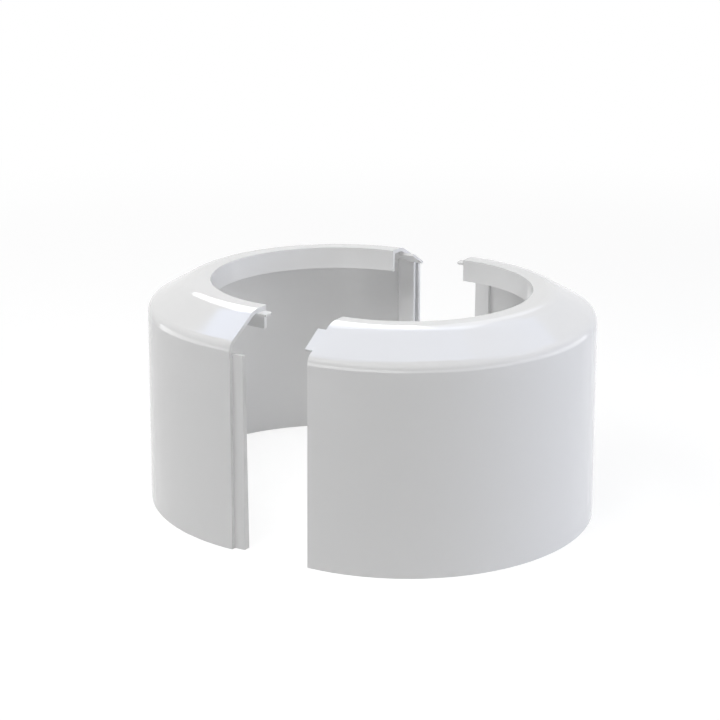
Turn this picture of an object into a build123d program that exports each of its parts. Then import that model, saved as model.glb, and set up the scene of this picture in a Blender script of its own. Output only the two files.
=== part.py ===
"""Split pipe escutcheon: a tall skirt that hides a waste pipe where it enters a wall or floor.

The cover is made of two identical mouldings. Each is half of a drafted skirt with a sloped
shoulder, a flat rim and a short collar that stands against the pipe. One end of a half carries
a tongue on the skirt and a pin under the rim. The other end carries a slot behind the skirt and
a tab under the shoulder. Turned half way round, a half meets its twin: tongue in slot, pin under
rim, tab under shoulder.

Millimetres, +Z up. The foot of the skirt stands on Z = 0, the halves part along X, and the
origin is midway between their two bore axes.
"""
from build123d import *
from math import cos, radians, sin, tan
import os

# Overall form
bore_diameter = 111.0
skirt_diameter = 170.0
height = 100.0
wall = 1.75
draft = 1.0
collar_depth = 10.0

# Rim and shoulder
rim_width = 9.2
shoulder_angle = 29.0
rim_radius = 12.0
shoulder_radius = 4.9

# Joint between the halves
joint_inset = 0.75
clearance = 0.25
anchor = 2.0

# Tongue on the skirt and the slot that takes it
tongue_reach = 5.0
tongue_depth = 5.5
tongue_drop = 1.6
tongue_play = 0.95
slot_depth = 8.3
lip_bend = 3.5

# Pin under the rim
pin_reach = 4.75
pin_thickness = 1.0
pin_margin = 1.4
pin_round = 2.0

# Tab under the shoulder
tab_reach_top = 5.4
tab_reach_foot = 5.1
tab_thickness = 1.2
tab_margin_top = 2.3
tab_margin_foot = 5.3

# Distance between the two bore axes with the halves set apart
spread = 35.6

# Worked out from the sizes above
slope = radians(shoulder_angle)
lean = radians(draft)
bore_radius = bore_diameter / 2
skirt_radius = skirt_diameter / 2
collar_radius = bore_radius + wall
brow_radius = bore_radius + rim_width
cut = -joint_inset


def outline(inset):
    """Foot, knee and brow of the skirt's outer line, as (radius, height), moved inwards by inset."""
    foot_radius = skirt_radius - inset / cos(lean)
    slope_height = height - inset / cos(slope) + brow_radius * tan(slope)
    knee_radius = (foot_radius - slope_height * tan(lean)) / (1 - tan(lean) * tan(slope))
    knee_height = slope_height - knee_radius * tan(slope)
    brow = (slope_height - height + inset) / tan(slope)
    return (foot_radius, 0), (knee_radius, knee_height), (brow, height - inset)


def lining(inset, inner_radius):
    """The rounded line of one side of the wall, from the foot up and in to inner_radius."""
    foot, knee, brow = outline(inset)
    radii = (shoulder_radius - inset, rim_radius - inset)
    return FilletPolyline(foot, knee, brow, (inner_radius, height - inset), radius=radii)


def core(inset):
    """All that lies within the wall's outer line moved inwards by inset, as a full round solid."""
    foot, knee, brow = outline(inset)
    half_section = Polyline((0, 0), foot, knee, brow, (0, height - inset), close=True)
    return revolve(Plane.XZ * make_face(half_section), Axis.Z)


def block(x_span, y_span, z_span):
    """A box between the given pairs of limits."""
    corner = Pos(min(x_span), min(y_span), min(z_span))
    size = [abs(high - low) for low, high in (x_span, y_span, z_span)]
    return corner * Box(*size, align=(Align.MIN, Align.MIN, Align.MIN))


def half_cover():
    """The plain half: skirt, shoulder, rim and collar, ending just short of the bore axis."""
    outside = lining(0, bore_radius)
    inside = lining(wall, collar_radius)
    collar = Polyline(
        (bore_radius, height),
        (bore_radius, height - collar_depth),
        (collar_radius, height - collar_depth),
        (collar_radius, height - wall),
    )
    foot = Line(inside @ 0, outside @ 0)
    section = make_face(outside.edges() + collar.edges() + inside.edges() + foot.edges())
    swept = revolve(Plane.YZ * section, Axis.Z, 180)
    return split(swept, Plane.YZ.offset(cut), Keep.BOTTOM)


def straight_top():
    """Height at which the straight wall ends and the shoulder's rounding starts."""
    knee_height = outline(0)[1][1]
    return knee_height - shoulder_radius * tan((radians(90) - slope - lean) / 2)


def tongue():
    """Strip inside the skirt's front end that runs on past the joint, flush with the foot."""
    y_span = (-skirt_radius, tongue_depth - skirt_radius)
    z_span = (0, straight_top() - tongue_drop)
    root = block((cut - anchor, cut), y_span, z_span) & core(wall / 2)
    reach = block((cut, cut + tongue_reach), y_span, z_span) & core(wall + clearance)
    return root + reach


def pin():
    """Flat pin under the front end of the rim, between the collar and the shoulder."""
    outer = outline(wall)[2][0] - pin_margin
    inner = collar_radius + clearance
    top = height - wall - clearance
    z_span = (top - pin_thickness, top)
    root_span = (top - pin_thickness, height - wall / 2)
    root = block((cut - anchor, cut), (-outer, -bore_radius - wall / 2), root_span) & core(wall / 2)
    reach = block((cut, cut + pin_reach), (-outer, -inner), z_span)
    leading_edge = reach.edges().filter_by(Axis.Z).group_by(Axis.X)[-1].sort_by(Axis.Y)[-1]
    return root + fillet(leading_edge, pin_round)


def slot_lip():
    """Lip behind the skirt's back end that bends round into the wall and leaves a slot."""
    lip_middle = skirt_radius - tongue_depth - tongue_play - wall / 2
    bend_middle = cut - slot_depth - wall / 2
    route = FilletPolyline(
        (cut, lip_middle),
        (bend_middle, lip_middle),
        (bend_middle, skirt_radius),
        radius=lip_bend - wall / 2,
    )
    return extrude(trace(route, wall), height) & core(wall / 2)


def shoulder_tab():
    """Thin tab under the back end of the shoulder, one wall and a clearance below its face."""
    inset = wall + clearance
    knee, brow = outline(inset)[1:]
    slope_length = (knee[0] - brow[0]) / cos(slope)
    top, foot = tab_margin_top, slope_length - tab_margin_foot
    face = Plane(origin=(cut, *brow), x_dir=(1, 0, 0), z_dir=(0, sin(slope), cos(slope)))
    reach = Polyline((0, top), (tab_reach_top, top), (tab_reach_foot, foot), (0, foot), close=True)
    root = Polyline((0, top), (-anchor, top), (-anchor, foot), (0, foot), close=True)
    plate = extrude(face * make_face(reach), -tab_thickness)
    fill = face.offset(inset - wall / 2) * make_face(root)
    return plate + extrude(fill, wall / 2 - inset - tab_thickness)


half = half_cover() + tongue() + pin() + slot_lip() + shoulder_tab()
left_half = Pos(-spread / 2, 0, 0) * half
right_half = Rot(0, 0, 180) * left_half

os.makedirs("parts", exist_ok=True)
export_step(left_half, "parts/left_half_shell.step")
export_step(right_half, "parts/right_half_shell.step")
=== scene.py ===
from math import cos, pi, radians, sin, tan

import bpy
from mathutils import Matrix, Vector

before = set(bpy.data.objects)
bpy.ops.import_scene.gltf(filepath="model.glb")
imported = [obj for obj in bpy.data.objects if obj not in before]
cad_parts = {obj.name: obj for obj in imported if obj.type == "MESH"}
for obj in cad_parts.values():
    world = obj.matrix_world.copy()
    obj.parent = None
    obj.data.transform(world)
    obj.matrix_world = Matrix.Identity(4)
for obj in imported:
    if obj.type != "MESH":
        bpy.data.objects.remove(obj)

scene = bpy.context.scene
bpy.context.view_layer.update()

UP = Vector((0, 0, 1))

# Camera: turn about +Z and tilt in radians, offsets and distance of the origin in metres
VIEW_TURN = 0.51837
VIEW_TILT = 0.30205
VIEW_OFFSET = (0.00435564, -0.06070344)
VIEW_DISTANCE = 0.74956346
LENS = 81.5597
SENSOR = 36.0
NEAR_CLIP = 0.01

# Plastic: limits of its colour and roughness, scales of its noises per metre and their detail
PLASTIC_PALE = (0.865, 0.865, 0.865, 1.0)
PLASTIC_DEEP = (0.850, 0.850, 0.850, 1.0)
PLASTIC_ROUGHNESS = (0.06, 0.10)
FLOW_SCALE = 22.0
FLOW_DETAIL = 3
SHEEN_SCALE = 70.0
SHEEN_DETAIL = 2
GRAIN_SCALE = 2400.0
GRAIN_DETAIL = 1
GRAIN_DEPTH = 0.00001
GRAIN_STRENGTH = 0.08

# Floor: colours to the lamps and to the eye, and distances over which it fades to white
FLOOR_SIZE = 12.0
FLOOR_COLOUR = (0.8, 0.8, 0.8, 1.0)
FLOOR_SHADE = (0.35, 0.35, 0.35, 1.0)
FLOOR_LIFT = 0.75
FLOOR_FADE = (0.3, 0.9)

# Lamps: distances and heights in metres, headings and bands of height in degrees
LAMP_AIM = Vector((0, 0, 0.05))
LAMP_DISTANCE = 1.2
CEILING_HEIGHT = 1.5
SCREEN_DISTANCE = 0.5
SCREEN_SPAN = 60
SCREEN_LOW = (0.004, 0.16)
SCREEN_HIGH = (0.35, 0.75)
LOW_BAND = (0, 14)
MIDDLE_BAND = (14, 34)
HIGH_BAND = (34, 60)
TOP_BAND = (60, 88)
KEY_BAND = (25, 50)
SKY_TURN = 188
SKY_DEPTH = (-0.1, 0.925)
WHITE = (1.0, 1.0, 1.0)
COOL = (0.83, 0.87, 1.0)
SKY_BLUE = (0.44, 0.59, 1.0)
FILL_PLACE = 0.03
FILL_RADIUS = 0.02
FILL_ENERGY = 0.034


def add_camera():
    """Camera at the photograph's viewing angle."""
    right = Vector((cos(VIEW_TURN), sin(VIEW_TURN), 0))
    level = Vector((-sin(VIEW_TURN), cos(VIEW_TURN), 0))
    ahead = level * cos(VIEW_TILT) - UP * sin(VIEW_TILT)
    up = level * sin(VIEW_TILT) + UP * cos(VIEW_TILT)
    place = -(right * VIEW_OFFSET[0] + up * VIEW_OFFSET[1] + ahead * VIEW_DISTANCE)
    data = bpy.data.cameras.new("camera")
    data.lens = LENS
    data.sensor_width = SENSOR
    data.sensor_fit = "HORIZONTAL"
    data.clip_start = NEAR_CLIP
    camera = bpy.data.objects.new("camera", data)
    turn = Matrix((right, up, -ahead)).transposed().to_4x4()
    camera.matrix_world = Matrix.Translation(place) @ turn
    scene.collection.objects.link(camera)
    scene.camera = camera


def noise(tree, scale, detail):
    """Noise over the object's own coordinates."""
    place = tree.nodes.new("ShaderNodeTexCoord")
    texture = tree.nodes.new("ShaderNodeTexNoise")
    texture.inputs["Scale"].default_value = scale
    texture.inputs["Detail"].default_value = detail
    tree.links.new(place.outputs["Object"], texture.inputs["Vector"])
    return texture


def plastic():
    """White moulded plastic: faint flow in the colour, uneven sheen and a very fine grain."""
    material = bpy.data.materials.new("white_plastic")
    material.use_nodes = True
    tree = material.node_tree
    shader = tree.nodes["Principled BSDF"]
    shader.inputs["Base Color"].default_value = PLASTIC_PALE
    shader.inputs["Roughness"].default_value = PLASTIC_ROUGHNESS[0]

    flow = noise(tree, FLOW_SCALE, FLOW_DETAIL)
    shades = tree.nodes.new("ShaderNodeValToRGB")
    shades.color_ramp.elements[0].color = PLASTIC_DEEP
    shades.color_ramp.elements[1].color = PLASTIC_PALE
    tree.links.new(flow.outputs["Fac"], shades.inputs["Fac"])
    tree.links.new(shades.outputs["Color"], shader.inputs["Base Color"])

    patches = noise(tree, SHEEN_SCALE, SHEEN_DETAIL)
    sheen = tree.nodes.new("ShaderNodeMapRange")
    sheen.inputs["To Min"].default_value = PLASTIC_ROUGHNESS[0]
    sheen.inputs["To Max"].default_value = PLASTIC_ROUGHNESS[1]
    tree.links.new(patches.outputs["Fac"], sheen.inputs["Value"])
    tree.links.new(sheen.outputs["Result"], shader.inputs["Roughness"])

    grain = noise(tree, GRAIN_SCALE, GRAIN_DETAIL)
    bump = tree.nodes.new("ShaderNodeBump")
    bump.inputs["Strength"].default_value = GRAIN_STRENGTH
    bump.inputs["Distance"].default_value = GRAIN_DEPTH
    tree.links.new(grain.outputs["Fac"], bump.inputs["Height"])
    tree.links.new(bump.outputs["Normal"], shader.inputs["Normal"])
    return material


def seen_white(tree):
    """One for rays that look straight at the surroundings, see them mirrored or look through glass."""
    path = tree.nodes.new("ShaderNodeLightPath")
    mirrored = tree.nodes.new("ShaderNodeMath")
    through = tree.nodes.new("ShaderNodeMath")
    through.use_clamp = True
    tree.links.new(path.outputs["Is Camera Ray"], mirrored.inputs[0])
    tree.links.new(path.outputs["Is Glossy Ray"], mirrored.inputs[1])
    tree.links.new(mirrored.outputs[0], through.inputs[0])
    tree.links.new(path.outputs["Is Transmission Ray"], through.inputs[1])
    return through.outputs[0]


def add_floor():
    """Plain pale floor. Seen directly it is lifted to white, and keeps a soft shadow of the object."""
    material = bpy.data.materials.new("floor")
    material.use_nodes = True
    tree = material.node_tree
    tree.nodes.clear()
    output = tree.nodes.new("ShaderNodeOutputMaterial")
    plain = tree.nodes.new("ShaderNodeBsdfDiffuse")
    plain.inputs["Color"].default_value = FLOOR_COLOUR
    shaded = tree.nodes.new("ShaderNodeBsdfDiffuse")
    shaded.inputs["Color"].default_value = FLOOR_SHADE
    lift = tree.nodes.new("ShaderNodeEmission")
    lift.inputs["Strength"].default_value = FLOOR_LIFT
    near = tree.nodes.new("ShaderNodeAddShader")
    white = tree.nodes.new("ShaderNodeEmission")
    white.inputs["Strength"].default_value = 1.0
    place = tree.nodes.new("ShaderNodeTexCoord")
    distance = tree.nodes.new("ShaderNodeVectorMath")
    distance.operation = "LENGTH"
    fade = tree.nodes.new("ShaderNodeMapRange")
    fade.interpolation_type = "SMOOTHSTEP"
    fade.inputs["From Min"].default_value = FLOOR_FADE[0]
    fade.inputs["From Max"].default_value = FLOOR_FADE[1]
    seen = tree.nodes.new("ShaderNodeMixShader")
    choice = tree.nodes.new("ShaderNodeMixShader")
    link = tree.links.new
    link(shaded.outputs[0], near.inputs[0])
    link(lift.outputs[0], near.inputs[1])
    link(place.outputs["Object"], distance.inputs[0])
    link(distance.outputs["Value"], fade.inputs["Value"])
    link(fade.outputs["Result"], seen.inputs["Fac"])
    link(near.outputs[0], seen.inputs[1])
    link(white.outputs[0], seen.inputs[2])
    link(seen_white(tree), choice.inputs["Fac"])
    link(plain.outputs[0], choice.inputs[1])
    link(seen.outputs[0], choice.inputs[2])
    link(choice.outputs[0], output.inputs["Surface"])
    half = FLOOR_SIZE / 2
    corners = [(-half, -half, 0), (half, -half, 0), (half, half, 0), (-half, half, 0)]
    mesh = bpy.data.meshes.new("floor")
    mesh.from_pydata(corners, [], [(0, 1, 2, 3)])
    mesh.materials.append(material)
    floor = bpy.data.objects.new("floor", mesh)
    scene.collection.objects.link(floor)


def add_world():
    """White surroundings to the eye, which give the object no light of their own."""
    world = bpy.data.worlds.new("surroundings")
    world.use_nodes = True
    tree = world.node_tree
    background = tree.nodes["Background"]
    background.inputs["Color"].default_value = (1, 1, 1, 1)
    tree.links.new(seen_white(tree), background.inputs["Strength"])
    scene.world = world


def heading(turn):
    """Level direction as seen from the camera: 0 behind it, 90 to its right, 180 beyond the object."""
    level = Vector((sin(VIEW_TURN), -cos(VIEW_TURN), 0))
    right = Vector((cos(VIEW_TURN), sin(VIEW_TURN), 0))
    return level * cos(radians(turn)) + right * sin(radians(turn))


def add_soft_box(name, width, depth, place, brightness, colour, mirrored):
    """Rectangular lamp. A mirrored one shows only in the gloss, and any other one gives only shading."""
    data = bpy.data.lights.new(name, "AREA")
    data.shape = "RECTANGLE"
    data.size = width
    data.size_y = depth
    data.energy = brightness * width * depth * pi
    data.color = colour
    lamp = bpy.data.objects.new(name, data)
    lamp.matrix_world = place
    lamp.visible_camera = False
    lamp.visible_glossy = mirrored
    lamp.visible_diffuse = not mirrored
    scene.collection.objects.link(lamp)


def add_panel(name, turn, width, band, brightness, colour=WHITE, mirrored=False):
    """Soft box around a heading. Its width and its band of height are angles seen from the object."""
    low, high = band
    rise = radians((low + high) / 2)
    direction = heading(turn) * cos(rise) + UP * sin(rise)
    across = 2 * LAMP_DISTANCE * cos(rise) * tan(radians(width / 2))
    tall = 2 * LAMP_DISTANCE * tan(radians((high - low) / 2))
    facing = (-direction).to_track_quat("-Z", "Y").to_matrix().to_4x4()
    place = Matrix.Translation(LAMP_AIM + direction * LAMP_DISTANCE) @ facing
    add_soft_box(name, across, tall, place, brightness, colour, mirrored)


def add_sky(name, left, right, brightness):
    """Level soft box overhead, seen only in the gloss. Its edges are shares of its height over the object."""
    near, far = SKY_DEPTH
    side = heading(SKY_TURN - 90)
    beyond = heading(SKY_TURN)
    shift = side * (left + right) / 2 + beyond * (near + far) / 2 + UP
    facing = Matrix((side, beyond, UP)).transposed().to_4x4()
    place = Matrix.Translation(LAMP_AIM + shift * CEILING_HEIGHT) @ facing
    width = (right - left) * CEILING_HEIGHT
    depth = (far - near) * CEILING_HEIGHT
    add_soft_box(name, width, depth, place, brightness, SKY_BLUE, True)


def add_screen(name, turn, heights, brightness):
    """Upright soft box close to the object, seen only in the gloss."""
    bottom, top = heights
    out = heading(turn)
    facing = Matrix((UP.cross(out), UP, out)).transposed().to_4x4()
    place = Matrix.Translation(out * SCREEN_DISTANCE + UP * (bottom + top) / 2) @ facing
    width = 2 * SCREEN_DISTANCE * tan(radians(SCREEN_SPAN / 2))
    add_soft_box(name, width, top - bottom, place, brightness, WHITE, True)


def add_shading():
    """Soft boxes that shade the object: from above, from the left and from low on the right."""
    add_panel("top", 0, 90, TOP_BAND, 3.85)
    add_panel("top_back", 180, 90, TOP_BAND, 1.25)
    add_panel("front_left_high", 315, 45, HIGH_BAND, 3.0)
    add_panel("left_high", 270, 45, HIGH_BAND, 2.35)
    add_panel("front_right", 60, 30, MIDDLE_BAND, 2.8)
    add_panel("right_low", 90, 30, LOW_BAND, 8.5, COOL)
    add_panel("back_low", 200, 80, (0, 26), 0.7)


def add_reflections():
    """Soft boxes mirrored in the plastic: a key beyond the object, a pale blue sky and low screens."""
    add_panel("key_gloss", 192, 34, KEY_BAND, 4.5, WHITE, True)
    add_panel("key_gloss_high", 183, 60, (50, 62), 2.15, WHITE, True)
    add_panel("key_gloss_fade", 166, 18, KEY_BAND, 0.9, COOL, True)
    add_panel("sky_gloss_left", 222, 24, (42.5, 60), 0.75, SKY_BLUE, True)
    add_sky("sky_gloss", -0.57, 0.35, 1.6)
    add_sky("sky_gloss_right", 0.35, 0.95, 0.95)
    add_screen("left_gloss", 270, SCREEN_LOW, 2.1)
    add_screen("right_gloss", 90, SCREEN_LOW, 1.7)
    add_screen("right_gloss_high", 90, SCREEN_HIGH, 0.5)
    add_screen("front_left_gloss", 330, SCREEN_LOW, 3.6)
    add_screen("front_left_gloss_high", 330, SCREEN_HIGH, 1.2)
    add_screen("front_right_gloss", 30, SCREEN_LOW, 2.2)
    add_screen("front_right_gloss_high", 30, SCREEN_HIGH, 0.8)


def add_fill():
    """Small soft lamp between the halves that lifts the shade inside the cover."""
    data = bpy.data.lights.new("fill", "POINT")
    data.shadow_soft_size = FILL_RADIUS
    data.energy = FILL_ENERGY
    fill = bpy.data.objects.new("fill", data)
    fill.location = LAMP_AIM + heading(0) * FILL_PLACE
    fill.visible_camera = False
    fill.visible_glossy = False
    scene.collection.objects.link(fill)


scene.view_settings.view_transform = "Standard"
add_camera()
add_floor()
add_world()
add_shading()
add_reflections()
add_fill()
shell_material = plastic()
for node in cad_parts.values():
    node.data.materials.clear()
    node.data.materials.append(shell_material)
